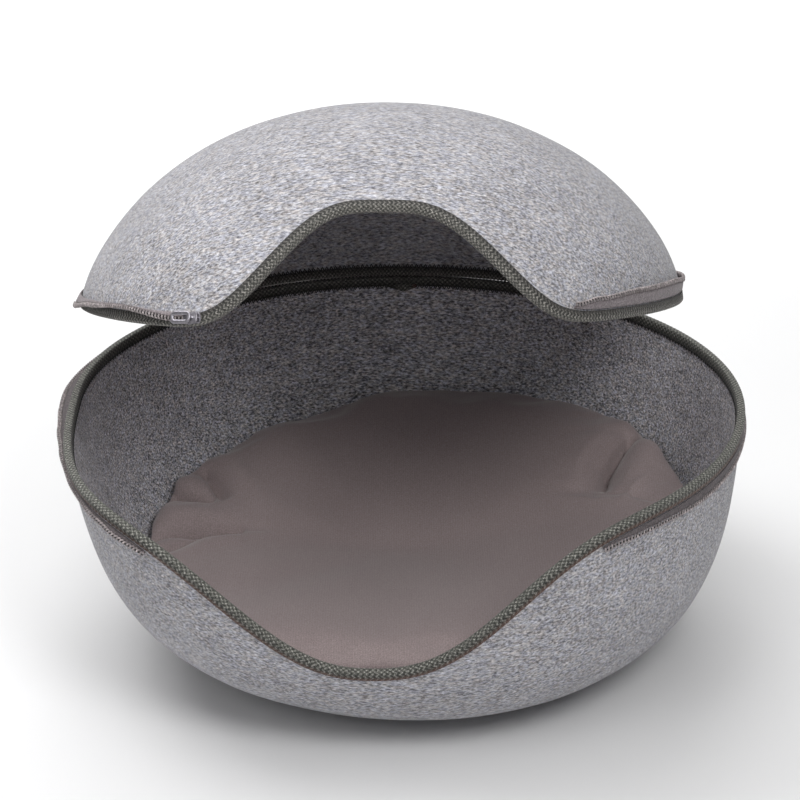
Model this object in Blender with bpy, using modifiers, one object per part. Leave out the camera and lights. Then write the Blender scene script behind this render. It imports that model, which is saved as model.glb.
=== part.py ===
"""A felt cat cave, unzipped and propped open: a scooped lower bowl with a cushion in it, and a domed lid
with an arched mouth whose rim meets the bowl's only at the back. Metres, degrees where a name says so.

The origin is the middle of the flat base, on the floor. The front, with the scoop and the arch, faces -Y.
Both halves are the same kind of moulded shell, so one description serves them: azimuth 0 is the front and
grows towards +X, and depth runs from the rim's plane to the pole.
"""

from bisect import bisect_right
from dataclasses import dataclass
from math import atan2, cos, degrees, exp, pi, radians, sin

import bmesh
import bpy
from mathutils import Matrix, Vector

OBJECT = "felt_cat_cave"

# Cloth and trim
FELT_THICK = 0.0030
GAP = 0.0003  # between pieces that touch
BINDING_THICK = 0.0010
BINDING_LEG = 0.0053  # how far the binding reaches over the felt
BINDING_CHAMFER = 0.0008
TAPE_THICK = 0.0006
COIL_RADIUS = 0.0014
BINDING_PROUD = BINDING_THICK + GAP
EDGE_STRIP = BINDING_LEG + 4.0 * GAP  # the straight strip of felt in the binding

# Stations round a rim: close together round the notch, wider round the back
NOTCH_SPAN = 60.0  # degrees each side of the front
NOTCH_STATIONS = 28
BACK_STATIONS = 28
WALL_RINGS = 6
TANGENT_STEP = 0.002

# Lid, held open on its back edge
LID_HINGE = (-0.0145, 0.2105, 0.1704)
LID_TURN_DEG = (-17.5, -0.6, -1.9)  # opened, rolled and turned, about X, Y and Z
LID_LENGTH_BACK = 0.2050  # rim centre to the hinge line

# Bowl
BOWL_RIM_X = -0.0069
BOWL_RIM_Z = 0.1680

# Zips: how each tape lies from one end of the notch round the back to the other, as places on the felt's own
# section: how far into the cloth from its edge, and how far out of its face. A coil with less than the tape's
# own distance into the cloth hangs over the binding.
# azimuth in degrees, fold into, fold out, coil into, coil out, in millimetres
BOWL_ZIP = (
    (31.5, 6.7, 1.0, 8.9, 2.0),
    (40.0, 7.4, 1.5, 11.0, 2.6),
    (55.0, 7.4, 1.5, 12.0, 3.0),
    (66.0, 7.4, 1.5, 11.8, 2.6),
    (78.0, 7.2, 1.4, 10.4, 2.1),
    (95.0, 7.0, 1.4, 9.6, 2.2),
    (135.0, 6.8, 1.8, 8.0, 4.0),
    (200.0, 6.4, 2.0, 6.4, 6.0),
    (240.0, 6.2, 2.2, 6.0, 9.0),
    (262.0, 6.2, 2.2, 6.0, 10.6),
    (271.0, 6.2, 2.2, 6.0, 9.2),
    (279.0, 6.2, 2.0, 6.0, 7.0),
    (287.0, 6.2, 1.5, 6.8, 4.4),
    (295.0, 6.6, 1.0, 8.6, 2.5),
    (303.0, 6.6, 1.0, 8.7, 2.2),
    (310.0, 6.4, 1.6, 6.6, 4.4),
    (315.0, 6.2, 2.0, 6.3, 5.7),
    (320.0, 6.2, 1.6, 6.6, 3.8),
)
LID_ZIP = (
    (38.0, 6.7, 1.0, 8.8, 2.2),
    (44.0, 7.4, 1.6, 12.4, 2.7),
    (56.0, 7.4, 1.6, 14.9, 2.9),
    (72.0, 7.4, 1.6, 15.6, 3.0),
    (84.0, 7.4, 1.6, 13.8, 2.7),
    (110.0, 7.4, 1.6, 12.4, 2.6),
    (130.0, 6.6, 2.0, 7.0, 6.2),
    (148.0, 6.2, 2.3, -3.2, 5.0),
    (215.0, 6.2, 2.3, -3.2, 5.0),
    (255.0, 6.2, 2.3, -2.8, 3.1),
    (282.0, 6.2, 2.3, -3.4, 3.2),
    (294.0, 7.4, 2.4, 0.8, 4.8),
    (304.0, 9.0, 2.3, 4.3, 5.2),
    (314.0, 9.4, 2.2, 6.6, 5.1),
    (328.7, 7.4, 2.4, 1.8, 4.4),
)

# Slider, parked at the lid's left zip end
SLIDER_SIZE = (0.0094, 0.0064, 0.0042)
SLIDER_AZIMUTH = 330.3
PULL_LENGTH = 0.0125
PULL_WIDTH = 0.0066
PULL_WIRE = 0.00070
PULL_LIFT = 0.0035
PULL_TURN = radians(-9.0)  # up from the coil's line, to lie level

# Cushion: crest height above the floor by azimuth, and the middle of its dished top
# azimuth in degrees, height
CUSHION_CREST = (
    (0.0, 0.0740),
    (45.0, 0.0740),
    (88.0, 0.0780),
    (108.0, 0.0860),
    (122.0, 0.0950),
    (140.0, 0.0980),
    (180.0, 0.0930),
    (210.0, 0.0800),
    (232.0, 0.0680),
    (265.0, 0.0550),
    (300.0, 0.0620),
    (330.0, 0.0730),
    (360.0, 0.0740),
)
CUSHION_STATIONS = 18
CUSHION_CLEAR = 0.0025  # to the felt's inner face
CUSHION_MIDDLE = 0.0480
# How far in from the wall, and how high between the floor and the crest, each ring of the cage lies
CUSHION_WALL_RINGS = (0.05, 0.45, 1.00)
CUSHION_TOP_RINGS = ((0.14, 1.10), (0.46, 0.62), (0.78, 0.12))  # share inwards, share of crest over middle
CUSHION_SOLE = 0.55  # radius of the sole's inner ring, as a share of the lowest wall ring

# Colours: red, green, blue, roughness
FELT_GREY = (0.52, 0.52, 0.54, 0.95)
BINDING_GREY = (0.20, 0.20, 0.19, 0.90)
TAPE_GREY = (0.25, 0.22, 0.23, 0.85)
COIL_GREY = (0.42, 0.38, 0.38, 0.45)
SLIDER_GREY = (0.55, 0.53, 0.56, 0.35)
CUSHION_TAUPE = (0.23, 0.19, 0.17, 0.90)


@dataclass(frozen=True)
class Notch:
    """A bell-shaped dip in a shell's edge. Its middle and its spreads to the left and right are degrees of
    azimuth. A higher power gives a flatter bottom and steeper sides."""

    middle: float
    depth: float
    left_spread: float
    left_power: float
    right_spread: float
    right_power: float

    def dip(self, azimuth):
        offset = (degrees(azimuth) - self.middle + 180.0) % 360.0 - 180.0
        if offset > 0:
            return self.depth * exp(-((offset / self.right_spread) ** self.right_power))
        return self.depth * exp(-((-offset / self.left_spread) ** self.left_power))


@dataclass(frozen=True)
class Seat:
    """How the back of a rim leaves its plane to meet the other half's: its drop in metres, and its push
    outwards as a share of the radius, both for each unit of 1 - cos of the angle from the back."""

    closing: float = 0.0  # a drop all along the seat
    right_drop: float = 0.0
    left_drop: float = 0.0
    right_push: float = 0.0
    left_push: float = 0.0
    shift: float = 0.0  # towards +X, as a share of the radius
    spread: float = 54.0  # degrees each side of the back
    power: float = 6.0
    reach: float = 0.045  # how far up the wall the push is felt

    def fade(self, turn):
        return exp(-((abs(turn) / self.spread) ** self.power))

    def drop(self, azimuth):
        turn = degrees(azimuth) % 360.0 - 180.0
        each = self.right_drop if turn < 0 else self.left_drop
        return (self.closing + each * (1.0 + cos(azimuth))) * self.fade(turn)

    def push(self, azimuth, depth):
        turn = degrees(azimuth) % 360.0 - 180.0
        each = self.right_push if turn < 0 else self.left_push
        outwards = each * (1.0 + cos(azimuth)) + self.shift * sin(azimuth)
        return outwards * self.fade(turn) * exp(-((max(depth, 0.0) / self.reach) ** 2))


@dataclass(frozen=True)
class HalfShell:
    """A moulded shell's outer face. The rim lies in the plane z = 0, round a centre from which the front,
    the back and both sides have their own lengths, and the pole is up (1) or down (-1)."""

    half_width: float
    front: float
    back: float
    depth: float
    wall_power: float
    crown_power: float
    flare: float
    pole_shift: float
    left_corner: float
    right_corner: float
    closed_at: float
    pole: int
    notch: Notch
    seat: Seat

    def length(self, azimuth):
        return self.front if cos(azimuth) > 0 else self.back

    def corner(self, azimuth, share):
        """The power of the outline: 2 is an ellipse, more is squarer, and only the front is squarer."""
        rim = 2.0
        if cos(azimuth) > 0:
            rim = self.right_corner if sin(azimuth) > 0 else self.left_corner
        return 2.0 + (rim - 2.0) * (1.0 - share)

    def point(self, azimuth, depth):
        share = min(max(depth / self.depth, 0.0), 1.0)
        spread = (1.0 - share**self.wall_power) ** (1.0 / self.crown_power)
        spread *= (1.0 + self.flare * (1.0 - share) ** 3) / (1.0 + self.flare)
        power = self.corner(azimuth, share)
        spread *= (abs(sin(azimuth)) ** power + abs(cos(azimuth)) ** power) ** (-1.0 / power)
        spread *= 1.0 + self.seat.push(azimuth, depth)
        return Vector(
            (
                self.half_width * spread * sin(azimuth) + self.pole_shift * share,
                -self.length(azimuth) * spread * cos(azimuth),
                self.pole * depth,
            )
        )

    def place(self, point):
        """The azimuth and depth of a point on or near the face."""
        depth = self.pole * point.z
        across = (point.x - self.pole_shift * depth / self.depth) / self.half_width
        lengthways = self.front if point.y < 0 else self.back
        return atan2(across, -point.y / lengthways), depth

    def edge_depth(self, azimuth):
        return self.notch.dip(azimuth) - self.seat.drop(azimuth)

    def edge(self, azimuth):
        return self.point(azimuth, self.edge_depth(azimuth))

    def normal(self, azimuth, depth):
        step = TANGENT_STEP
        around = self.point(azimuth + step, depth) - self.point(azimuth - step, depth)
        inner = min(depth + step * self.depth, self.depth * 0.999)
        outer = inner - 0.001 if depth < 0 else max(inner - 0.001, 0.0)
        down = self.point(azimuth, inner) - self.point(azimuth, outer)
        return (around.cross(down) * self.pole).normalized()

    def edge_frame(self, azimuth):
        """At the edge: the point, along the edge, into the cloth and out of the felt. Into the cloth is the
        straight way to the end of the strip that the binding covers."""
        edge = self.edge(azimuth)
        along = self.edge(azimuth + TANGENT_STEP) - self.edge(azimuth - TANGENT_STEP)
        along.normalize()
        slope = self.normal(azimuth, self.edge_depth(azimuth)).cross(along) * self.pole
        into = self.point(*self.place(edge + slope * EDGE_STRIP)) - edge
        into = (into - along * into.dot(along)).normalized()
        return edge, along, into, along.cross(into) * self.pole

    def at_edge(self, azimuth, inwards, outwards):
        point, _, into, out = self.edge_frame(azimuth)
        return point + into * inwards + out * outwards


BOWL = HalfShell(
    half_width=0.2205,
    front=0.2230,
    back=0.2092,
    depth=0.1705,
    wall_power=2.985,
    crown_power=4.007,
    flare=0.0324,
    pole_shift=0.0069,
    left_corner=2.95,
    right_corner=2.00,
    closed_at=BOWL_RIM_Z,
    pole=-1,
    notch=Notch(-8.3, 0.0907, 24.1, 2.44, 28.1, 2.55),
    seat=Seat(),
)
LID = HalfShell(
    half_width=0.1932,
    front=0.2349,
    back=0.2037,
    depth=0.1256,
    wall_power=1.597,
    crown_power=2.140,
    flare=0.0003,
    pole_shift=0.0015,
    left_corner=2.45,
    right_corner=1.95,
    closed_at=0.1256,
    pole=1,
    notch=Notch(1.4, 0.0677, 21.9, 3.69, 25.8, 3.60),
    seat=Seat(0.0005, 0.0440, 0.0537, 0.30, 0.24, 0.059),
)


def eased(table, azimuth, column):
    """A column of a table read at an azimuth in degrees, eased from row to row."""
    places = [row[0] for row in table]
    after = min(max(bisect_right(places, azimuth), 1), len(table) - 1)
    before = after - 1
    share = (azimuth - places[before]) / (places[after] - places[before])
    share = (1.0 - cos(pi * min(max(share, 0.0), 1.0))) / 2.0
    return table[before][column] + (table[after][column] - table[before][column]) * share


def rim_stations():
    """Azimuths in radians once round a rim, from the front's left to the left of the back."""
    front = [-NOTCH_SPAN + 2.0 * NOTCH_SPAN * i / NOTCH_STATIONS for i in range(NOTCH_STATIONS)]
    rest = 360.0 - 2.0 * NOTCH_SPAN
    back = [NOTCH_SPAN + rest * i / BACK_STATIONS for i in range(BACK_STATIONS)]
    return [radians(a) for a in front + back]


def zip_stations(table):
    """Azimuths in radians from a zip's first row to its last, on the rim's stations in between."""
    first, last = radians(table[0][0]), radians(table[-1][0])
    every = sorted(a % (2.0 * pi) for a in rim_stations())
    clear = radians(1.0)
    return [first] + [a for a in every if first + clear < a < last - clear] + [last]


def material(name, colour):
    made = bpy.data.materials.new(name)
    made.use_nodes = True
    shader = made.node_tree.nodes["Principled BSDF"]
    shader.inputs["Base Color"].default_value = (*colour[:3], 1.0)
    shader.inputs["Roughness"].default_value = colour[3]
    shader.inputs["Metallic"].default_value = 0.0
    return made


def add_object(name, data, colour, location=(0.0, 0.0, 0.0), parent=None):
    data.materials.append(material(name, colour))
    made = bpy.data.objects.new(name, data)
    bpy.data.collections[OBJECT].objects.link(made)
    made.location = location
    made.parent = parent
    return made


def surface_mesh(name, rows, closed, flipped, middles=()):
    """An open surface on rows of points, closed round a ring or not. Each (row, point) of middles fans
    that row to a point."""
    mesh = bmesh.new()
    grid = [[mesh.verts.new(p) for p in row] for row in rows]
    count = len(rows[0])
    steps = range(count if closed else count - 1)
    for near, far in zip(grid, grid[1:]):
        for i in steps:
            mesh.faces.new((near[i], near[(i + 1) % count], far[(i + 1) % count], far[i]))
    for row, point in middles:
        middle = mesh.verts.new(point)
        for i in steps:
            ends = (grid[row][i], grid[row][(i + 1) % count])
            mesh.faces.new((*ends, middle) if row else (*reversed(ends), middle))
    if flipped:
        bmesh.ops.reverse_faces(mesh, faces=mesh.faces)
    data = bpy.data.meshes.new(name)
    mesh.to_mesh(data)
    mesh.free()
    data.shade_smooth()
    return data


def solidify(made, thickness, offset):
    shell = made.modifiers.new("Thickness", "SOLIDIFY")
    shell.thickness = thickness
    shell.offset = offset
    shell.use_even_offset = True


def felt_rows(shell):
    """Rows of points from the edge, past the strip that the binding covers, to the pole's ring."""
    columns = []
    for azimuth in rim_stations():
        turned, depth = shell.place(shell.at_edge(azimuth, EDGE_STRIP, 0.0))
        last = WALL_RINGS if shell.closed_at < shell.depth else WALL_RINGS + 1
        shares = [sin(pi / 2.0 * ring / last) for ring in range(WALL_RINGS + 1)]
        wall = [shell.point(turned, depth + (shell.closed_at - depth) * share) for share in shares]
        columns.append([shell.edge(azimuth), *wall])
    return list(zip(*columns))


def add_felt(name, shell, location, parent):
    rows = felt_rows(shell)
    middle = Vector((shell.pole_shift * shell.closed_at / shell.depth, 0.0, shell.pole * shell.closed_at))
    data = surface_mesh(name, rows, True, shell.pole < 0, [(len(rows) - 1, middle)])
    solidify(add_object(name, data, FELT_GREY, location, parent), FELT_THICK, -1.0)


def add_binding(name, shell, location, parent):
    """A tape folded over the edge: down the outside, across the top and down the inside."""
    outer = BINDING_PROUD
    inner = -FELT_THICK - BINDING_PROUD
    top = -BINDING_PROUD
    cut = BINDING_CHAMFER
    fold = (
        (BINDING_LEG, outer),
        (top + cut, outer),
        (top, outer - cut),
        (top, inner + cut),
        (top + cut, inner),
        (BINDING_LEG, inner),
    )
    rows = [[shell.at_edge(a, *place) for a in rim_stations()] for place in fold]
    data = surface_mesh(name, rows, True, shell.pole > 0)
    solidify(add_object(name, data, BINDING_GREY, location, parent), BINDING_THICK, -1.0)


def tape_path(table, azimuth):
    """A zip tape across its width: its seam by the binding, its fold, its free edge and the coil's centre,
    each as (into the cloth, out of the felt)."""
    at = degrees(azimuth)
    fold_into, fold_out, coil_into, coil_out = [eased(table, at, column) / 1000.0 for column in (1, 2, 3, 4)]
    seam = Vector((BINDING_LEG + GAP + TAPE_THICK, GAP + TAPE_THICK))
    fold = Vector((fold_into, fold_out))
    coil = Vector((coil_into, coil_out))
    away = (coil - fold).normalized()
    return seam, fold, coil - (COIL_RADIUS + GAP) * away, coil


def add_zip(side, shell, table, location, parent):
    stations = zip_stations(table)
    paths = [tape_path(table, a) for a in stations]
    rows = [[shell.at_edge(a, *path[k]) for a, path in zip(stations, paths)] for k in range(3)]
    name = f"{side}_zip_tape"
    tape = add_object(name, surface_mesh(name, rows, False, False), TAPE_GREY, location, parent)
    solidify(tape, TAPE_THICK, 0.0)
    centres = [shell.at_edge(a, *path[3]) for a, path in zip(stations, paths)]
    add_tube(f"{side}_zip_coil", centres, COIL_RADIUS, COIL_GREY, location, parent)


def add_tube(name, points, radius, colour, location, parent, cyclic=False):
    data = bpy.data.curves.new(name, "CURVE")
    data.dimensions = "3D"
    data.bevel_depth = radius
    data.bevel_resolution = 1
    data.render_resolution_u = 0
    data.use_fill_caps = not cyclic
    spline = data.splines.new("POLY")
    spline.points.add(len(points) - 1)
    for target, point in zip(spline.points, points):
        target.co = (*point, 1.0)
    spline.use_cyclic_u = cyclic
    return add_object(name, data, colour, location, parent)


def add_slider(location, parent):
    """The slider's body, its nose along the zip, and the open pull that hangs from it along the coil."""
    azimuth = radians(SLIDER_AZIMUTH)
    _, along, into, out = LID.edge_frame(azimuth)
    centre = LID.at_edge(azimuth, *tape_path(LID_ZIP, azimuth)[3])
    place = Matrix((along, into, out)).transposed().to_4x4()
    place.translation = Vector(location) + centre

    data = bpy.data.meshes.new("zip_slider")
    mesh = bmesh.new()
    bmesh.ops.create_cube(mesh, size=1.0)
    bmesh.ops.scale(mesh, verts=mesh.verts, vec=SLIDER_SIZE)
    mesh.to_mesh(data)
    mesh.free()
    slider = add_object("zip_slider", data, SLIDER_GREY, parent=parent)
    slider.matrix_local = place
    rounding = slider.modifiers.new("Rounding", "BEVEL")
    rounding.width = SLIDER_SIZE[2] * 0.28
    rounding.segments = 2

    pull = add_tube("slider_pull", pull_outline(), PULL_WIRE, SLIDER_GREY, (0.0, 0.0, 0.0), parent, True)
    pull.matrix_local = place @ Matrix.Rotation(PULL_TURN, 4, "Z")


def pull_outline():
    """The pull's loop in the slider's own frame: it starts over the body and runs back along the coil."""
    corner = PULL_WIDTH * 0.3
    middles = (
        (-corner, PULL_WIDTH / 2.0 - corner, 0.0),
        (corner - PULL_LENGTH, PULL_WIDTH / 2.0 - corner, 90.0),
        (corner - PULL_LENGTH, corner - PULL_WIDTH / 2.0, 180.0),
        (-corner, corner - PULL_WIDTH / 2.0, 270.0),
    )
    points = []
    for x, y, start in middles:
        for turn in (0.0, 45.0, 90.0):
            angle = radians(start + turn)
            points.append(Vector((x + corner * cos(angle), y + corner * sin(angle), PULL_LIFT)))
    return points


def cushion_column(azimuth):
    """The cage's points at one azimuth, from the sole's ring up the wall and over to the top's ring."""
    crest = eased(CUSHION_CREST, degrees(azimuth) % 360.0, 1)
    inset = FELT_THICK + CUSHION_CLEAR
    column = []
    for share in CUSHION_WALL_RINGS:
        height = inset + (crest - inset) * share
        depth = BOWL_RIM_Z - height
        column.append(BOWL.point(azimuth, depth) - BOWL.normal(azimuth, depth) * inset)
    sole = column[0] * CUSHION_SOLE
    sole.z = FELT_THICK + GAP - BOWL_RIM_Z
    for inwards, rise in CUSHION_TOP_RINGS:
        point = column[-1] * (1.0 - inwards)
        point.z = CUSHION_MIDDLE + (crest - CUSHION_MIDDLE) * rise - BOWL_RIM_Z
        column.append(point)
    return [sole, *column]


def add_cushion(location):
    turns = [2.0 * pi * i / CUSHION_STATIONS for i in range(CUSHION_STATIONS)]
    rows = list(zip(*[cushion_column(a) for a in turns]))
    sole = Vector((0.0, 0.0, rows[0][0].z))
    top = Vector((0.0, 0.0, CUSHION_MIDDLE - BOWL_RIM_Z))
    data = surface_mesh("cushion", rows, True, False, [(0, sole), (len(rows) - 1, top)])
    made = add_object("cushion", data, CUSHION_TAUPE, location)
    round_off = made.modifiers.new("Filled", "SUBSURF")
    round_off.levels = 1
    round_off.render_levels = 1


def clear_scene():
    for old in list(bpy.data.objects):
        bpy.data.objects.remove(old)
    bpy.context.scene.collection.children.link(bpy.data.collections.new(OBJECT))


def add_hinge():
    """The empty that the whole lid turns with, on the line where its rim meets the bowl's."""
    hinge = bpy.data.objects.new("lid_hinge", None)
    bpy.data.collections[OBJECT].objects.link(hinge)
    hinge.location = LID_HINGE
    hinge.rotation_mode = "ZYX"
    hinge.rotation_euler = [radians(turn) for turn in LID_TURN_DEG]
    return hinge


def main():
    clear_scene()
    bowl_rim = (BOWL_RIM_X, 0.0, BOWL_RIM_Z)
    add_felt("bowl_felt", BOWL, bowl_rim, None)
    add_binding("bowl_binding", BOWL, bowl_rim, None)
    add_zip("bowl", BOWL, BOWL_ZIP, bowl_rim, None)
    add_cushion(bowl_rim)

    hinge = add_hinge()
    lid_rim = (0.0, -LID_LENGTH_BACK, BINDING_PROUD)
    add_felt("lid_felt", LID, lid_rim, hinge)
    add_binding("lid_binding", LID, lid_rim, hinge)
    add_zip("lid", LID, LID_ZIP, lid_rim, hinge)
    add_slider(lid_rim, hinge)
    bpy.context.view_layer.update()


main()
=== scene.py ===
"""Looks for the felt cat cave: pressed felt shells, ribbed binding, open zips, a slider and a filled cushion.

The CAD nodes are faceted stand-ins, so every one is replaced by a fine piece on the same surfaces: the two
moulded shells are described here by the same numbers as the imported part's. Metres and radians, except where
a name says degrees or a table says millimetres.
"""

from dataclasses import dataclass
from math import cos, pi, radians, sin

import bmesh
import bpy
import numpy as np
from mathutils import Matrix, Vector, noise


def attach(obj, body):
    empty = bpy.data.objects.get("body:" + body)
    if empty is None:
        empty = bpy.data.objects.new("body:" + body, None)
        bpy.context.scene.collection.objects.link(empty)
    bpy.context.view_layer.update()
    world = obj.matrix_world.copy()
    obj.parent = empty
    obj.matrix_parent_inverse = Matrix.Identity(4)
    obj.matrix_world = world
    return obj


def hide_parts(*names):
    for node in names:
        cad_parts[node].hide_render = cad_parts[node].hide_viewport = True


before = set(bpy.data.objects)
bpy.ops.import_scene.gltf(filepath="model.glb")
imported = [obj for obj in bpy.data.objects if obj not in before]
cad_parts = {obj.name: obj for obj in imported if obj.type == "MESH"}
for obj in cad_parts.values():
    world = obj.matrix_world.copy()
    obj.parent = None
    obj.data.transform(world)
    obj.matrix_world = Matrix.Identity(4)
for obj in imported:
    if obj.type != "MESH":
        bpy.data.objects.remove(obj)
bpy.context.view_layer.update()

# Cloth and trim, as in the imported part
FELT_THICK = 0.0030
GAP = 0.0003
BINDING_THICK = 0.0010
BINDING_LEG = 0.0053
TAPE_THICK = 0.0006
COIL_RADIUS = 0.0014
BINDING_PROUD = BINDING_THICK + GAP
EDGE_STRIP = BINDING_LEG + 4.0 * GAP
TANGENT_STEP = 0.002

BOWL_RIM = (-0.0069, 0.0, 0.1680)
LID_HINGE = (-0.0145, 0.2105, 0.1704)
LID_TURN_DEG = (-17.5, -0.6, -1.9)
LID_LENGTH_BACK = 0.2050

# azimuth in degrees, fold into, fold out, coil into, coil out, in millimetres
BOWL_ZIP = (
    (31.5, 6.7, 1.0, 8.9, 2.0),
    (40.0, 7.4, 1.5, 11.0, 2.6),
    (55.0, 7.4, 1.5, 12.0, 3.0),
    (66.0, 7.4, 1.5, 11.8, 2.6),
    (78.0, 7.2, 1.4, 10.4, 2.1),
    (95.0, 7.0, 1.4, 9.6, 2.2),
    (135.0, 6.8, 1.8, 8.0, 4.0),
    (200.0, 6.4, 2.0, 6.4, 6.0),
    (240.0, 6.2, 2.2, 6.0, 9.0),
    (262.0, 6.2, 2.2, 6.0, 10.6),
    (271.0, 6.2, 2.2, 6.0, 9.2),
    (279.0, 6.2, 2.0, 6.0, 7.0),
    (287.0, 6.2, 1.5, 6.8, 4.4),
    (295.0, 6.6, 1.0, 8.6, 2.5),
    (303.0, 6.6, 1.0, 8.7, 2.2),
    (310.0, 6.4, 1.6, 6.6, 4.4),
    (315.0, 6.2, 2.0, 6.3, 5.7),
    (320.0, 6.2, 1.6, 6.6, 3.8),
)
LID_ZIP = (
    (38.0, 6.7, 1.0, 8.8, 2.2),
    (44.0, 7.4, 1.6, 12.4, 2.7),
    (56.0, 7.4, 1.6, 14.9, 2.9),
    (72.0, 7.4, 1.6, 15.6, 3.0),
    (84.0, 7.4, 1.6, 13.8, 2.7),
    (110.0, 7.4, 1.6, 12.4, 2.6),
    (130.0, 6.6, 2.0, 7.0, 6.2),
    (148.0, 6.2, 2.3, -3.2, 5.0),
    (215.0, 6.2, 2.3, -3.2, 5.0),
    (255.0, 6.2, 2.3, -2.8, 3.1),
    (282.0, 6.2, 2.3, -3.4, 3.2),
    (294.0, 7.4, 2.4, 0.8, 4.8),
    (304.0, 9.0, 2.3, 4.3, 5.2),
    (314.0, 9.4, 2.2, 6.6, 5.1),
    (328.7, 7.4, 2.4, 1.8, 4.4),
)
SLIDER_AZIMUTH = 330.3

# azimuth in degrees, height of the cushion's crest
CUSHION_CREST = (
    (0.0, 0.0740),
    (45.0, 0.0740),
    (88.0, 0.0780),
    (108.0, 0.0860),
    (122.0, 0.0950),
    (140.0, 0.0980),
    (180.0, 0.0930),
    (210.0, 0.0800),
    (232.0, 0.0680),
    (265.0, 0.0550),
    (300.0, 0.0620),
    (330.0, 0.0730),
    (360.0, 0.0740),
)
CUSHION_CLEAR = 0.0025
CUSHION_MIDDLE = 0.0480
CUSHION_WALL_RINGS = (0.05, 0.45, 1.00)
CUSHION_TOP_RINGS = ((0.14, 1.10), (0.46, 0.62), (0.78, 0.12))
CUSHION_SOLE = 0.55

# How fine the pieces are
FELT_COLUMNS = 440
FELT_RINGS = 40
RIB_PITCH = {"bowl": 0.0036, "lid": 0.0028}
RIB_SAMPLES = 5
RIB_STRIPE = 0.0016  # width of one stripe of the binding's herringbone, and of one row of its dots
FOLD_FROM = 0.0058  # across the binding, where its dotted fold starts
RIB_HEIGHT = 0.00030
TOOTH_PITCH = 0.0026
TOOTH_WIRE = 0.00058
TOOTH_REACH = 0.00112  # half a turn's width, to the middle of its wire
TOOTH_RISE = 0.00062  # and half its height
TOOTH_STEPS = 12
ZIGZAG_PITCH = 0.0033
PULL_LENGTH = 0.0125
PULL_WIDTH = 0.0066
PULL_TURN = radians(-9.0)  # up from the coil's line, to lie level


@dataclass(frozen=True)
class Notch:
    """A bell-shaped dip in a shell's edge, with its middle and spreads in degrees of azimuth."""

    middle: float
    depth: float
    left_spread: float
    left_power: float
    right_spread: float
    right_power: float

    def dip(self, azimuth):
        offset = (np.degrees(azimuth) - self.middle + 180.0) % 360.0 - 180.0
        right = np.exp(-((np.abs(offset) / self.right_spread) ** self.right_power))
        left = np.exp(-((np.abs(offset) / self.left_spread) ** self.left_power))
        return self.depth * np.where(offset > 0, right, left)


@dataclass(frozen=True)
class Seat:
    """How the back of a rim leaves its plane to meet the other half's: its drop in metres and its push
    outwards as a share of the radius, both for each unit of 1 - cos of the angle from the back."""

    closing: float = 0.0  # a drop along the whole seat
    right_drop: float = 0.0
    left_drop: float = 0.0
    right_push: float = 0.0
    left_push: float = 0.0
    shift: float = 0.0  # towards the right, as a share of the radius
    spread: float = 54.0
    power: float = 6.0
    reach: float = 0.045  # how far up the wall the push is felt

    def parts(self, azimuth):
        turn = np.degrees(azimuth) % 360.0 - 180.0
        bow = 1.0 - np.cos(np.radians(turn))
        fade = np.exp(-((np.abs(turn) / self.spread) ** self.power))
        return turn, bow * fade, fade

    def drop(self, azimuth):
        turn, bow, fade = self.parts(azimuth)
        return self.closing * fade + bow * np.where(turn < 0, self.right_drop, self.left_drop)

    def push(self, azimuth):
        turn, bow, fade = self.parts(azimuth)
        outwards = bow * np.where(turn < 0, self.right_push, self.left_push)
        return outwards - self.shift * np.sin(np.radians(turn)) * fade


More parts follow.
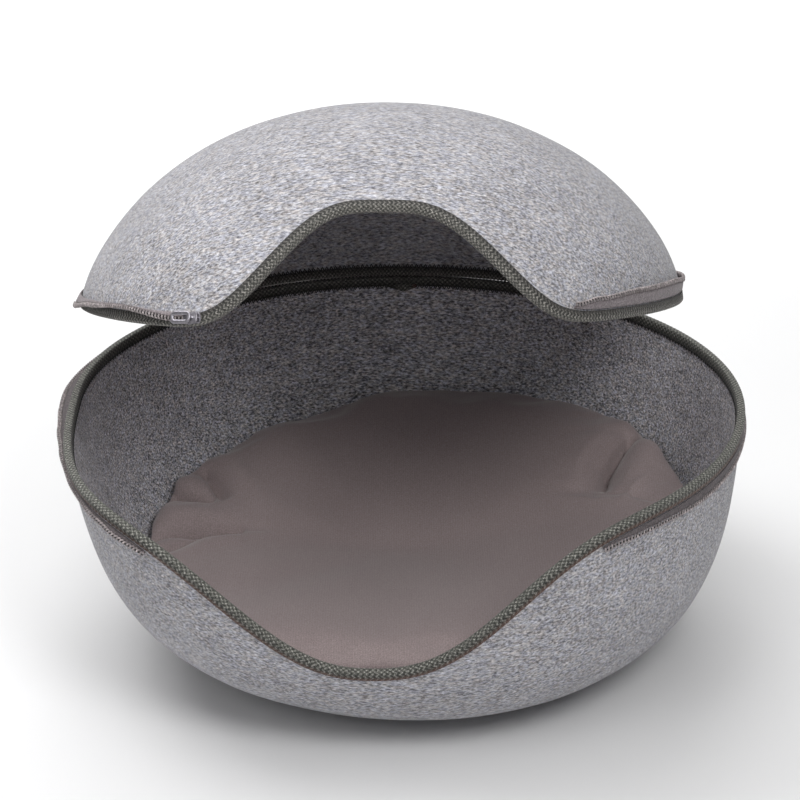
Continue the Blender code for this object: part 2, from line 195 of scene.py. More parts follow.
@dataclass(frozen=True)
class HalfShell:
    """A moulded shell's outer face: the rim lies in the plane z = 0, and the pole is up (1) or down (-1)."""

    half_width: float
    front: float
    back: float
    depth: float
    wall_power: float
    crown_power: float
    flare: float
    pole_shift: float
    left_corner: float
    right_corner: float
    closed_at: float
    pole: int
    notch: Notch
    seat: Seat
    placed: Matrix

    def point(self, azimuth, depth):
        azimuth, depth = np.broadcast_arrays(azimuth, depth)
        share = np.clip(depth / self.depth, 0.0, 1.0)
        spread = (1.0 - share**self.wall_power) ** (1.0 / self.crown_power)
        spread = spread * (1.0 + self.flare * (1.0 - share) ** 3) / (1.0 + self.flare)
        ahead = np.cos(azimuth) > 0
        corner = np.where(np.sin(azimuth) > 0, self.right_corner, self.left_corner)
        power = 2.0 + (np.where(ahead, corner, 2.0) - 2.0) * (1.0 - share)
        across, along = np.abs(np.sin(azimuth)), np.abs(np.cos(azimuth))
        spread = spread * (across**power + along**power) ** (-1.0 / power)
        felt_here = np.exp(-((np.maximum(depth, 0.0) / self.seat.reach) ** 2))
        spread = spread * (1.0 + self.seat.push(azimuth) * felt_here)
        length = np.where(ahead, self.front, self.back)
        x = self.half_width * spread * np.sin(azimuth) + self.pole_shift * share
        return np.stack((x, -length * spread * np.cos(azimuth), self.pole * depth), axis=-1)

    def place(self, points):
        """The azimuth and depth of points on or near the face."""
        depth = self.pole * points[..., 2]
        across = (points[..., 0] - self.pole_shift * depth / self.depth) / self.half_width
        length = np.where(points[..., 1] < 0, self.front, self.back)
        return np.arctan2(across, -points[..., 1] / length), depth

    def edge_depth(self, azimuth):
        return self.notch.dip(azimuth) - self.seat.drop(azimuth)

    def edge(self, azimuth):
        return self.point(azimuth, self.edge_depth(azimuth))

    def normal(self, azimuth, depth):
        step = TANGENT_STEP
        around = self.point(azimuth + step, depth) - self.point(azimuth - step, depth)
        inner = np.minimum(depth + step * self.depth, self.depth * 0.999)
        outer = np.where(depth < 0.0, inner - 0.001, np.maximum(inner - 0.001, 0.0))
        down = self.point(azimuth, inner) - self.point(azimuth, outer)
        return unit(np.cross(around, down) * self.pole)

    def edge_frame(self, azimuth):
        """At the edge: the point, along the edge, into the cloth and out of the felt."""
        edge = self.edge(azimuth)
        along = unit(self.edge(azimuth + TANGENT_STEP) - self.edge(azimuth - TANGENT_STEP))
        slope = np.cross(self.normal(azimuth, self.edge_depth(azimuth)), along) * self.pole
        into = self.point(*self.place(edge + slope * EDGE_STRIP)) - edge
        into = unit(into - along * (into * along).sum(-1, keepdims=True))
        return edge, along, into, np.cross(along, into) * self.pole

    def at_edge(self, azimuth, inwards, outwards):
        """Points by their place on the felt's own section, for arrays of azimuths and places."""
        edge, _, into, out = self.edge_frame(azimuth)
        return edge + into * np.expand_dims(inwards, -1) + out * np.expand_dims(outwards, -1)

    def even_azimuths(self, count, first=-pi, last=pi):
        """Azimuths that part the edge from first to last into equal lengths; a whole turn drops its end."""
        fine = np.linspace(first, last, 12001)
        edge = self.edge(fine)
        run = np.concatenate(([0.0], np.cumsum(np.linalg.norm(np.diff(edge, axis=0), axis=1))))
        whole = last - first > 2.0 * pi - 1e-6
        marks = np.linspace(0.0, run[-1], count + 1)[:-1] if whole else np.linspace(0.0, run[-1], count)
        return np.interp(marks, run, fine), marks, run[-1]


def unit(vectors):
    return vectors / np.maximum(np.linalg.norm(vectors, axis=-1, keepdims=True), 1e-12)


def lid_place():
    hinge = Matrix.Translation(LID_HINGE)
    for axis, turn in zip("ZYX", reversed(LID_TURN_DEG)):
        hinge = hinge @ Matrix.Rotation(radians(turn), 4, axis)
    return hinge


BOWL = HalfShell(
    half_width=0.2205,
    front=0.2230,
    back=0.2092,
    depth=0.1705,
    wall_power=2.985,
    crown_power=4.007,
    flare=0.0324,
    pole_shift=0.0069,
    left_corner=2.95,
    right_corner=2.00,
    closed_at=0.1680,
    pole=-1,
    notch=Notch(-8.3, 0.0907, 24.1, 2.44, 28.1, 2.55),
    seat=Seat(),
    placed=Matrix.Translation(BOWL_RIM),
)
LID = HalfShell(
    half_width=0.1932,
    front=0.2349,
    back=0.2037,
    depth=0.1256,
    wall_power=1.597,
    crown_power=2.140,
    flare=0.0003,
    pole_shift=0.0015,
    left_corner=2.45,
    right_corner=1.95,
    closed_at=0.1256,
    pole=1,
    notch=Notch(1.4, 0.0677, 21.9, 3.69, 25.8, 3.60),
    seat=Seat(0.0005, 0.0440, 0.0537, 0.30, 0.24, 0.059),
    placed=lid_place() @ Matrix.Translation((0.0, -LID_LENGTH_BACK, BINDING_PROUD)),
)


def eased(table, azimuth_deg, column):
    """A column of a table read at azimuths in degrees, eased from row to row."""
    places = np.array([row[0] for row in table])
    values = np.array([row[column] for row in table])
    after = np.clip(np.searchsorted(places, azimuth_deg, side="right"), 1, len(table) - 1)
    share = (azimuth_deg - places[after - 1]) / (places[after] - places[after - 1])
    share = (1.0 - np.cos(pi * np.clip(share, 0.0, 1.0))) / 2.0
    return values[after - 1] + (values[after] - values[after - 1]) * share


def to_frame(shell, points):
    place = np.array(shell.placed)
    return points @ place[:3, :3].T + place[:3, 3]


# ---------------------------------------------------------------- meshes


def mesh_from(name, points, faces, corners=None, smooth=True):
    """A mesh from an array of points and one of faces with the same number of corners each."""
    mesh = bpy.data.meshes.new(name)
    count, sides = faces.shape
    mesh.vertices.add(len(points))
    mesh.vertices.foreach_set("co", np.ascontiguousarray(points, dtype=np.float32).ravel())
    mesh.loops.add(count * sides)
    mesh.loops.foreach_set("vertex_index", np.ascontiguousarray(faces, dtype=np.int32).ravel())
    mesh.polygons.add(count)
    mesh.polygons.foreach_set("loop_start", np.arange(0, count * sides, sides, dtype=np.int32))
    if corners is not None:
        layer = mesh.uv_layers.new(name="weave")
        layer.data.foreach_set("uv", np.ascontiguousarray(corners, dtype=np.float32).ravel())
    mesh.update(calc_edges=True)
    mesh.validate()
    if smooth:
        mesh.shade_smooth()
    return mesh


def grid_faces(rows, columns, close_rows, close_columns):
    """Faces of a grid of rows by columns, and for each corner its own unwrapped row and column."""
    i, j = np.meshgrid(
        np.arange(rows if close_rows else rows - 1),
        np.arange(columns if close_columns else columns - 1),
        indexing="ij",
    )
    i, j = i.ravel(), j.ravel()
    steps = ((0, 0), (0, 1), (1, 1), (1, 0))
    faces = np.stack([((i + a) % rows) * columns + (j + b) % columns for a, b in steps], axis=1)
    places = np.stack([np.stack((i + a, j + b), axis=1) for a, b in steps], axis=1)
    return faces, places


def grid_mesh(name, grid, close_rows, close_columns, u=None, v=None, flip=False):
    """A smooth mesh on a grid of points, with a map in metres if u of rows and v of columns are given."""
    rows, columns = grid.shape[:2]
    faces, places = grid_faces(rows, columns, close_rows, close_columns)
    corners = None
    if u is not None:
        corners = np.stack((u[places[..., 0]], v[places[..., 1]]), axis=-1)
    if flip:
        faces = faces[:, ::-1]
        corners = None if corners is None else corners[:, ::-1]
    corners = None if corners is None else corners.reshape(-1, 2)
    return mesh_from(name, grid.reshape(-1, 3), faces, corners)


def add_piece(name, data, slot, looks, *nodes):
    """A shown piece that rides on the one body and stands for CAD nodes."""
    made = bpy.data.objects.new(name, data)
    bpy.context.scene.collection.objects.link(made)
    data.materials.append(looks)
    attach(made, "root")
    if nodes:
        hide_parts(*nodes)
    return made


def rotated_frames(line, closed=False):
    """Two unit vectors across a line at each of its points, turning as little as they can."""
    if closed:
        tangent = unit(np.roll(line, -1, axis=0) - np.roll(line, 1, axis=0))
    else:
        tangent = unit(np.gradient(line, axis=0))
    side = np.zeros_like(line)
    pick = np.eye(3)[np.argmin(np.abs(tangent[0]))]
    last = unit(np.cross(tangent[0], pick))
    for k, t in enumerate(tangent):
        last = last - t * (last @ t)
        last = last / np.linalg.norm(last)
        side[k] = last
    return side, np.cross(tangent, side)


def tube_grid(line, radius, sides, closed=False):
    side, other = rotated_frames(line, closed)
    turn = 2.0 * pi * np.arange(sides) / sides
    ring = np.cos(turn)[None, :, None] * side[:, None, :] + np.sin(turn)[None, :, None] * other[:, None, :]
    wide = np.asarray(radius, dtype=float).reshape(-1, 1, 1)
    return line[:, None, :] + ring * wide


def tubes_mesh(name, lines, radius, sides, closed=False):
    """One mesh of round threads, one along each line, with domed ends where a line is open."""
    points, faces, base = [], [], 0
    for line in lines:
        reach = np.full(len(line), radius)
        if not closed:
            reach[0] = reach[-1] = radius * 0.35
        grid = tube_grid(line, reach, sides, closed)
        part, _ = grid_faces(len(line), sides, closed, True)
        points.append(grid.reshape(-1, 3))
        faces.append(part + base)
        base += len(line) * sides
    return mesh_from(name, np.concatenate(points), np.concatenate(faces))


# ---------------------------------------------------------------- materials


class Graph:
    """A material's node tree, with short ways to add and join its nodes."""

    def __init__(self, name):
        self.material = bpy.data.materials.new(name)
        self.material.use_nodes = True
        self.tree = self.material.node_tree
        self.shader = self.tree.nodes["Principled BSDF"]

    def add(self, kind, inputs=(), **settings):
        node = self.tree.nodes.new("ShaderNode" + kind)
        for key, value in settings.items():
            setattr(node, key, value)
        for key, value in dict(inputs).items():
            self.put(node, key, value)
        return node

    def put(self, node, key, value):
        if isinstance(value, bpy.types.NodeSocket):
            self.tree.links.new(value, node.inputs[key])
        else:
            node.inputs[key].default_value = value

    def math(self, operation, *values):
        return self.add("Math", enumerate(values), operation=operation).outputs[0]

    def noise(self, where, scale, detail=2.0, roughness=0.55, distortion=0.0):
        inputs = {"Vector": where, "Scale": scale, "Detail": detail, "Roughness": roughness}
        return self.add("TexNoise", {**inputs, "Distortion": distortion}).outputs["Fac"]

    def ramp(self, value, *stops):
        """Colours at places from 0 to 1, straight in between."""
        node = self.add("ValToRGB", {"Fac": value})
        marks = node.color_ramp.elements
        while len(marks) < len(stops):
            marks.new(0.5)
        for mark, (place, colour) in zip(marks, stops):
            mark.position = place
            mark.color = (*colour, 1.0)
        return node.outputs["Color"]

    def mix(self, share, first, second, blend="MIX"):
        node = self.add("Mix", data_type="RGBA", blend_type=blend)
        for key, value in ((0, share), (6, first), (7, second)):
            if not isinstance(value, bpy.types.NodeSocket) and key:
                value = (*value, 1.0)
            self.put(node, key, value)
        return node.outputs[2]

    def finish(self, colour, roughness, bump, depth, strength=1.0, **constants):
        """Joins a colour, a roughness and a height to the shader; the constants go on its own sockets."""
        self.put(self.shader, "Base Color", colour)
        self.put(self.shader, "Roughness", roughness)
        relief = self.add("Bump", {"Height": bump, "Strength": strength, "Distance": depth})
        self.put(self.shader, "Normal", relief.outputs["Normal"])
        for key, value in constants.items():
            self.shader.inputs[key.replace("_", " ")].default_value = value
        return self.material


def grey(value, warm=0.0):
    """A grey, warmer (positive) or cooler."""
    return (value * (1.0 + warm), value, value * (1.0 - warm))


def felt_looks():
    """Pressed felt of blended white, grey and dark fibres; inside the bowl its grain is stronger and its colour is
    painted lighter, as painted light.
    """
    g = Graph("pressed_felt")
    place = g.add("TexCoord").outputs["Object"]
    lay = g.add("Mapping", {"Vector": place, "Rotation": (0.0, 0.35, 0.2), "Scale": (0.42, 1.0, 0.9)}).outputs[0]
    cross = g.add("Mapping", {"Vector": place, "Rotation": (0.6, -0.5, 1.1), "Scale": (0.36, 1.0, 1.0)}).outputs[0]
    grain = g.noise(lay, 900.0, 3.0, 0.62)
    second = g.noise(cross, 780.0, 3.0, 0.62)
    grains = g.math("MULTIPLY_ADD", g.math("ADD", grain, second), 0.5, 0.0)
    cloud = g.noise(lay, 120.0, 3.0, 0.6)
    broad = g.noise(place, 22.0, 2.0, 0.5)
    tone = g.math("ADD", grains, g.math("MULTIPLY_ADD", cloud, 0.10, -0.05))
    tone = g.math("ADD", tone, g.math("MULTIPLY_ADD", broad, 0.05, -0.025))
    # Mask of the bowl's inner face: stronger grain there, and painted light that lightens its colour.
    inside_grain_and_painted_light = g.add("Attribute", attribute_name="inside_grain_and_painted_light").outputs["Fac"]
    contrast = g.math("MULTIPLY_ADD", inside_grain_and_painted_light, 0.45, 1.0)
    tone = g.math("MULTIPLY_ADD", g.math("SUBTRACT", tone, 0.5), contrast, 0.5)
    colour = g.ramp(
        tone,
        (0.34, (0.080, 0.078, 0.083)),
        (0.43, (0.200, 0.197, 0.209)),
        (0.50, (0.340, 0.336, 0.354)),
        (0.57, (0.490, 0.485, 0.510)),
        (0.66, (0.720, 0.714, 0.738)),
    )
    tint = g.noise(cross, 420.0, 2.0, 0.5, 0.4)
    warm = g.ramp(tint, (0.42, (0.95, 0.97, 1.05)), (0.50, (1.0, 1.0, 1.0)), (0.62, (1.05, 0.99, 0.93)))
    colour = g.mix(0.8, colour, warm, "MULTIPLY")
    for where, scale, shade, amount in ((lay, 330.0, (0.05, 0.047, 0.05), 0.50), (cross, 300.0, (0.80, 0.79, 0.84), 0.45)):
        line = g.math("ABSOLUTE", g.math("SUBTRACT", g.noise(where, scale, 1.0, 0.5, 0.9), 0.5))
        thin = g.ramp(line, (0.006, (1.0, 1.0, 1.0)), (0.022, (0.0, 0.0, 0.0)))
        gate = g.ramp(g.noise(where, scale * 0.9 + 40.0), (0.50, (0.0, 0.0, 0.0)), (0.60, (amount,) * 3))
        colour = g.mix(g.math("MULTIPLY", thin, gate), colour, shade)
    # Painted light: the bowl's inside painted lighter.
    colour = g.mix(inside_grain_and_painted_light, colour, g.mix(1.0, colour, (1.30, 1.29, 1.29), "MULTIPLY"))
    rough = g.math("MULTIPLY_ADD", grains, 0.12, 0.86)
    height = g.math("ADD", grains, g.math("MULTIPLY", cloud, 0.6))
    return g.finish(
        colour, rough, height, 0.0010, 0.5, Sheen_Weight=0.15, Sheen_Roughness=0.5, Specular_IOR_Level=0.12
    )


def rib_weave(g, u, v, pitch):
    """1 on a crest and -1 in a groove, from maps in metres: slanted ribs on the binding's outer leg, and rows
    of dots over its fold and inside."""
    slant = g.math("PINGPONG", v, RIB_STRIPE)
    phase = g.math("DIVIDE", g.math("MULTIPLY_ADD", slant, 0.9, u), pitch)
    ribs = g.math("COSINE", g.math("MULTIPLY", phase, 2.0 * pi))
    dots = g.math(
        "MULTIPLY",
        g.math("COSINE", g.math("MULTIPLY", u, 2.0 * pi / pitch)),
        g.math("COSINE", g.math("MULTIPLY", v, pi / RIB_STRIPE)),
    )
    share = g.ramp(v, (FOLD_FROM - 0.0004, (0.0, 0.0, 0.0)), (FOLD_FROM + 0.0004, (1.0, 1.0, 1.0)))
    return g.math("ADD", ribs, g.math("MULTIPLY", share, g.math("SUBTRACT", dots, ribs)))


def rib_relief(u, v, pitch):
    """The same weave as an array, for the cloth's own shape."""
    slant = RIB_STRIPE - np.abs(v % (2.0 * RIB_STRIPE) - RIB_STRIPE)
    ribs = np.cos(2.0 * pi * (u + 0.9 * slant) / pitch)
    dots = np.cos(2.0 * pi * u / pitch) * np.cos(pi * v / RIB_STRIPE)
    return np.where(v < FOLD_FROM, ribs, dots)


def binding_looks(name, pitch, tint, selvedge_dark, selvedge_light):
    """Herringbone tape: grey-green threads with painted highlights on the crests and painted shade in the grooves,
    painted lighter over the fold and darker on both legs as painted light and shade, and its own thread at the
    selvedge.
    """
    g = Graph(name)
    weave = g.add("SeparateXYZ", {"Vector": g.add("UVMap", uv_map="weave").outputs[0]}).outputs
    rib = rib_weave(g, weave[0], weave[1], pitch)
    place = g.add("TexCoord").outputs["Object"]
    stray = g.noise(place, 1300.0, 2.0, 0.6)
    # The weave's ribs as tone: crests painted lighter as painted highlights, grooves darker as painted shade.
    tone = g.math("MULTIPLY_ADD", rib, 0.20, g.math("MULTIPLY_ADD", stray, 1.2, -0.10))
    colour = g.ramp(
        tone,
        (0.14, (0.014, 0.015, 0.014)),
        (0.38, (0.050, 0.054, 0.048)),
        (0.62, (0.150, 0.159, 0.143)),
        (0.84, (0.430, 0.445, 0.410)),
        (0.98, (0.680, 0.690, 0.650)),
    )
    # Painted light and shade across the tape: the top of the fold lighter, the outer and inner legs darker.
    fold = g.ramp(
        weave[1],
        (0.0050, (0.66, 0.66, 0.65)),
        (0.0072, (1.15, 1.15, 1.13)),
        (0.0112, (1.15, 1.15, 1.13)),
        (0.0130, (0.50, 0.50, 0.49)),
    )
    colour = g.mix(1.0, g.mix(1.0, colour, fold, "MULTIPLY"), tint, "MULTIPLY")
    selvedge = g.ramp(weave[1], (0.0, (1.0, 1.0, 1.0)), (0.0012, (0.0, 0.0, 0.0)))
    edge_thread = g.ramp(stray, (0.35, selvedge_dark), (0.65, selvedge_light))
    colour = g.mix(selvedge, colour, edge_thread)
    height = g.math("MULTIPLY_ADD", stray, 0.8, g.math("MULTIPLY", rib, 0.30))
    rough = g.math("MULTIPLY_ADD", stray, 0.2, 0.66)
    return g.finish(colour, rough, height, 0.0006, 0.7, Sheen_Weight=0.12, Specular_IOR_Level=0.3)


def tape_looks(name, light):
    """Woven zip tape: fine crosswise ribs, mauve-brown, with a lightness given per side that is painted light and
    shade: the same tape darker on the bowl and lighter on the lid.
    """
    g = Graph(name)
    weave = g.add("SeparateXYZ", {"Vector": g.add("UVMap", uv_map="weave").outputs[0]}).outputs
    along = g.math("SINE", g.math("MULTIPLY", weave[0], 2.0 * pi / 0.0008))
    across = g.math("SINE", g.math("MULTIPLY", weave[1], 2.0 * pi / 0.0007))
    check = g.math("MULTIPLY", along, across)
    place = g.add("TexCoord").outputs["Object"]
    stray = g.noise(place, 900.0, 2.0, 0.6)
    tone = g.math("MULTIPLY_ADD", check, 0.10, stray)
    colour = g.ramp(
        tone,
        *((at, tuple(light * share for share in (1.0, 0.87, 0.91))) for at, light in ((0.30, light * 0.6), (0.50, light), (0.70, light * 1.6))),
    )
    return g.finish(colour, 0.8, tone, 0.0004, 0.6, Sheen_Weight=0.15, Specular_IOR_Level=0.25)


def teeth_looks(name, light):
    """Nylon teeth, red-brown and slightly glossy, with pale worn crests."""
    g = Graph(name)
    place = g.add("TexCoord").outputs["Object"]
    stray = g.noise(place, 700.0, 2.0, 0.5)
    shades = [tuple(light * share * each for each in (1.0, 0.88, 0.88)) for share in (0.55, 1.0, 1.8)]
    colour = g.ramp(stray, (0.35, shades[0]), (0.55, shades[1]), (0.70, shades[2]))
    rough = g.math("MULTIPLY_ADD", stray, 0.3, 0.20)
    return g.finish(colour, rough, stray, 0.0001, 0.4, Specular_IOR_Level=0.5)


def thread_looks(name, dark, light):
    """Twisted sewing thread."""
    g = Graph(name)
    place = g.add("TexCoord").outputs["Object"]
    ply = g.noise(place, 1800.0, 1.0, 0.5, 0.5)
    colour = g.ramp(ply, (0.35, dark), (0.65, light))
    return g.finish(colour, 0.7, ply, 0.0001, 0.5, Sheen_Weight=0.1, Specular_IOR_Level=0.3)


def metal_looks():
    """Satin painted slider, a little worn at its edges."""
    g = Graph("satin_slider")
    place = g.add("TexCoord").outputs["Object"]
    wear = g.noise(place, 600.0, 3.0, 0.6)
    colour = g.ramp(wear, (0.35, (0.25, 0.235, 0.26)), (0.60, (0.36, 0.345, 0.38)), (0.75, (0.52, 0.51, 0.54)))
    rough = g.math("MULTIPLY_ADD", wear, 0.25, 0.22)
    return g.finish(colour, rough, wear, 0.00005, 0.3, Metallic=0.80, Specular_IOR_Level=0.5)


def cushion_looks():
    """Fine brushed knit, taupe, with faint upright wales."""
    g = Graph("brushed_cloth")
    place = g.add("TexCoord").outputs["Object"]
    parts = g.add("SeparateXYZ", {"Vector": place}).outputs
    drift = g.math("MULTIPLY", g.noise(place, 60.0), 0.0012)
    wale = g.math("SINE", g.math("MULTIPLY", g.math("ADD", parts[0], drift), 2.0 * pi / 0.0016))
    course = g.math("SINE", g.math("MULTIPLY", parts[1], 2.0 * pi / 0.0011))
    knit = g.math("MULTIPLY_ADD", course, 0.35, wale)
    fuzz = g.noise(place, 1300.0, 2.0, 0.6)
    cloud = g.noise(place, 14.0, 3.0, 0.55)
    tone = g.math("ADD", fuzz, g.math("MULTIPLY_ADD", knit, 0.035, g.math("MULTIPLY_ADD", cloud, 0.16, -0.08)))
    colour = g.ramp(
        tone,
        (0.30, (0.245, 0.196, 0.194)),
        (0.50, (0.305, 0.248, 0.246)),
        (0.72, (0.385, 0.320, 0.316)),
    )
    height = g.math("MULTIPLY_ADD", knit, 0.10, g.math("MULTIPLY", fuzz, 0.5))
    return g.finish(colour, 0.92, height, 0.0005, 0.5, Sheen_Weight=0.3, Sheen_Roughness=0.45, Specular_IOR_Level=0.15)


def floor_looks():
    g = Graph("pale_floor")
    place = g.add("TexCoord").outputs["Object"]
    cloud = g.noise(place, 3.0, 2.0, 0.5)
    colour = g.ramp(cloud, (0.3, (0.80, 0.80, 0.803)), (0.7, (0.82, 0.82, 0.823)))
    return g.finish(colour, 0.7, cloud, 0.0001, 0.1, Specular_IOR_Level=0.2)


# ---------------------------------------------------------------- pieces


def felt_piece(name, shell, looks, node):
    """The whole cloth: down the outside from the edge to the pole, and back up the inside."""
    azimuth, _, _ = shell.even_azimuths(FELT_COLUMNS)
    edge, _, into, out = shell.edge_frame(azimuth)
    turned, start = shell.place(edge + into * EDGE_STRIP)
    flat_pole = shell.closed_at < shell.depth
    rings = FELT_RINGS
    shares = np.sin(pi / 2.0 * np.arange(rings + 1) / (rings if flat_pole else rings + 1))
    outside, inside = [edge], [edge - out * FELT_THICK]
    for share in shares:
        depth = start + (shell.closed_at - start) * share
        face = shell.point(turned, depth)
        normal = shell.normal(turned, depth)
        if share == 0.0:
            normal = unit(normal + 2.0 * out)
        settle = min(share * 3.0, 1.0)
        dent = np.array([noise.noise(Vector(p) * 17.0) for p in to_frame(shell, face)]) * 0.0007 * settle
        face = face + normal * dent[:, None]
        outside.append(face)
        inside.append(face - normal * FELT_THICK)
    middle = np.array((shell.pole_shift * shell.closed_at / shell.depth, 0.0, shell.pole * shell.closed_at))
    if flat_pole:
        last = outside[-1]
        floor_z = last[:, 2].mean()
        outside[-1] = np.column_stack((last[:, :2], np.full(len(last), floor_z)))
        for share in (0.25, 0.5, 0.75, 0.97):
            ring = last + (middle - last) * share
            ring[:, 2] = shell.pole * shell.closed_at
            outside.append(ring)
            inside.append(ring - np.array((0.0, 0.0, shell.pole * FELT_THICK)))
    rows = np.array([*outside[::-1], *inside])
    count = len(azimuth)
    points = to_frame(shell, rows.reshape(-1, 3))
    points[:, 2] = np.maximum(points[:, 2], 0.0)
    faces, _ = grid_faces(len(rows), count, False, True)
    triangles = []
    for row, face_height, reverse in ((0, 0.0, False), (len(rows) - 1, FELT_THICK, True)):
        tip = middle - np.array((0.0, 0.0, shell.pole * face_height))
        points = np.vstack((points, to_frame(shell, tip[None, :])))
        ring = row * count + np.arange(count)
        ends = (np.roll(ring, -1), ring) if not reverse else (ring, np.roll(ring, -1))
        triangles.append(np.stack((*ends, np.full(count, len(points) - 1)), axis=1))
    mesh = bpy.data.meshes.new(name)
    polygons = [tuple(f) for f in faces] + [tuple(t) for t in np.concatenate(triangles)]
    if shell.pole > 0:
        polygons = [f[::-1] for f in polygons]
    mesh.from_pydata([tuple(p) for p in points], [], polygons)
    mesh.update()
    mesh.shade_smooth()
    # Marks the bowl's inner face, where the felt gets stronger grain and painted light that lightens it.
    inside_grain_and_painted_light = mesh.attributes.new("inside_grain_and_painted_light", "FLOAT", "POINT")
    inner = (np.arange(len(points)) >= len(outside) * count) & (shell.pole < 0)
    inside_grain_and_painted_light.data.foreach_set("value", inner.astype(np.float32))
    made = add_piece(name, mesh, node, looks, node)
    return made


def binding_profile():
    """The tape's own line as (into, out), from its outer free edge over the fold to its inner one."""
    outer, inner, top = BINDING_PROUD, -FELT_THICK - BINDING_PROUD, -BINDING_PROUD
    round_out, round_in = 0.0015, 0.0010
    places = [(BINDING_LEG, outer - 0.0004), (BINDING_LEG - 0.0004, outer)]
    places += [(into, outer) for into in np.linspace(BINDING_LEG - 0.0012, top + round_out, 5)]
    for turn in (30.0, 60.0, 90.0):
        a = radians(turn)
        places.append((top + round_out * (1.0 - sin(a)), outer - round_out * (1.0 - cos(a))))
    places += [(top, outer - round_out - 0.0009), (top, inner + round_in + 0.0006)]
    for turn in (0.0, 45.0, 90.0):
        a = radians(turn)
        places.append((top + round_in * (1.0 - cos(a)), inner + round_in * (1.0 - sin(a))))
    places += [(0.0022, inner), (BINDING_LEG - 0.0004, inner), (BINDING_LEG, inner + 0.0004)]
    line = np.array(places)
    across = np.concatenate(([0.0], np.cumsum(np.linalg.norm(np.diff(line, axis=0), axis=1))))
    tangent = unit(np.gradient(line, axis=0))
    normal = np.stack((-tangent[:, 1], tangent[:, 0]), axis=1)
    if normal[3, 1] < 0:
        normal = -normal
    return line, across, normal


def binding_piece(name, shell, pitch, looks, node):
    line, across, normal = binding_profile()
    length = shell.even_azimuths(3)[2]
    ribs = round(length / pitch)
    azimuth, run, _ = shell.even_azimuths(ribs * RIB_SAMPLES)
    run = run / length * ribs * pitch
    rib = rib_relief(run[:, None], across[None, :], pitch)
    fade = np.clip(np.minimum(across, across[-1] - across) / 0.0008, 0.0, 1.0)
    relief = (rib - 1.0) * 0.5 * RIB_HEIGHT * fade[None, :]
    edge, _, into, out = shell.edge_frame(azimuth)
    places = line[None, :, :] + normal[None, :, :] * relief[..., None]
    face = edge[:, None] + into[:, None] * places[..., :1] + out[:, None] * places[..., 1:]
    back_line = np.array(
        (
            (BINDING_LEG, -FELT_THICK - GAP),
            (GAP * -0.7, -FELT_THICK - GAP),
            (GAP * -0.7, GAP),
            (BINDING_LEG, GAP),
        )
    )
    back = edge[:, None] + into[:, None] * back_line[None, :, :1] + out[:, None] * back_line[None, :, 1:]
    grid = to_frame(shell, np.concatenate((face, back), axis=1))
    v = np.concatenate((across, across[-1] + np.array((0.001, 0.006, 0.010, 0.015, 0.016))))
    u = np.append(run, ribs * pitch)
    mesh = grid_mesh(name, grid, True, True, u, v, flip=shell.pole < 0)
    made = add_piece(name, mesh, node, looks, node)
    return made


def tape_lines(shell, table, azimuth):
    """Across the tape at each azimuth: its seam, its fold, its free edge and the coil's centre."""
    at = np.degrees(azimuth)
    fold_in, fold_out, coil_in, coil_out = [eased(table, at, c) / 1000.0 for c in (1, 2, 3, 4)]
    seam = np.tile((BINDING_LEG + GAP + TAPE_THICK, GAP + TAPE_THICK), (len(at), 1))
    fold = np.stack((fold_in, fold_out), axis=1)
    coil = np.stack((coil_in, coil_out), axis=1)
    away = unit(coil - fold)
    return seam, fold, coil - (COIL_RADIUS + GAP) * away, coil


def zip_azimuths(shell, table, pitch):
    first, last = radians(table[0][0]), radians(table[-1][0])
    length = shell.even_azimuths(3, first, last)[2]
    return shell.even_azimuths(max(int(round(length / pitch)), 3), first, last)


def tape_piece(name, shell, table, looks, node):
    azimuth, run, length = zip_azimuths(shell, table, 0.002)
    seam, fold, free, _ = tape_lines(shell, table, azimuth)
    shares = np.linspace(0.0, 1.0, 6)[None, :, None]
    bend = (1.0 - shares) ** 2 * seam[:, None] + 2.0 * shares * (1.0 - shares) * fold[:, None] + shares**2 * free[:, None]
    step = np.gradient(bend, axis=1)
    across = unit(np.stack((-step[..., 1], step[..., 0]), axis=-1))
    half = TAPE_THICK / 2.0
    loop = np.concatenate((bend + across * half, (bend - across * half)[:, ::-1]), axis=1)
    edge, _, into, out = shell.edge_frame(azimuth)
    grid = edge[:, None] + into[:, None] * loop[..., :1] + out[:, None] * loop[..., 1:]
    v = np.linspace(0.0, 0.014, loop.shape[1] + 1)
    mesh = grid_mesh(name, to_frame(shell, grid), False, True, run, v)
    cap_ends(mesh, loop.shape[1])
    made = add_piece(name, mesh, node, looks, node)
    return made


def cap_ends(mesh, columns):
    """Closes a tube-like grid's two ends, and turns its faces outwards."""
    work = bmesh.new()
    work.from_mesh(mesh)
    work.verts.ensure_lookup_table()
    total = len(work.verts)
    work.faces.new([work.verts[k] for k in range(columns)])
    work.faces.new([work.verts[k] for k in range(total - columns, total)])
    bmesh.ops.recalc_face_normals(work, faces=work.faces)
    work.to_mesh(mesh)
    work.free()
    mesh.shade_smooth()


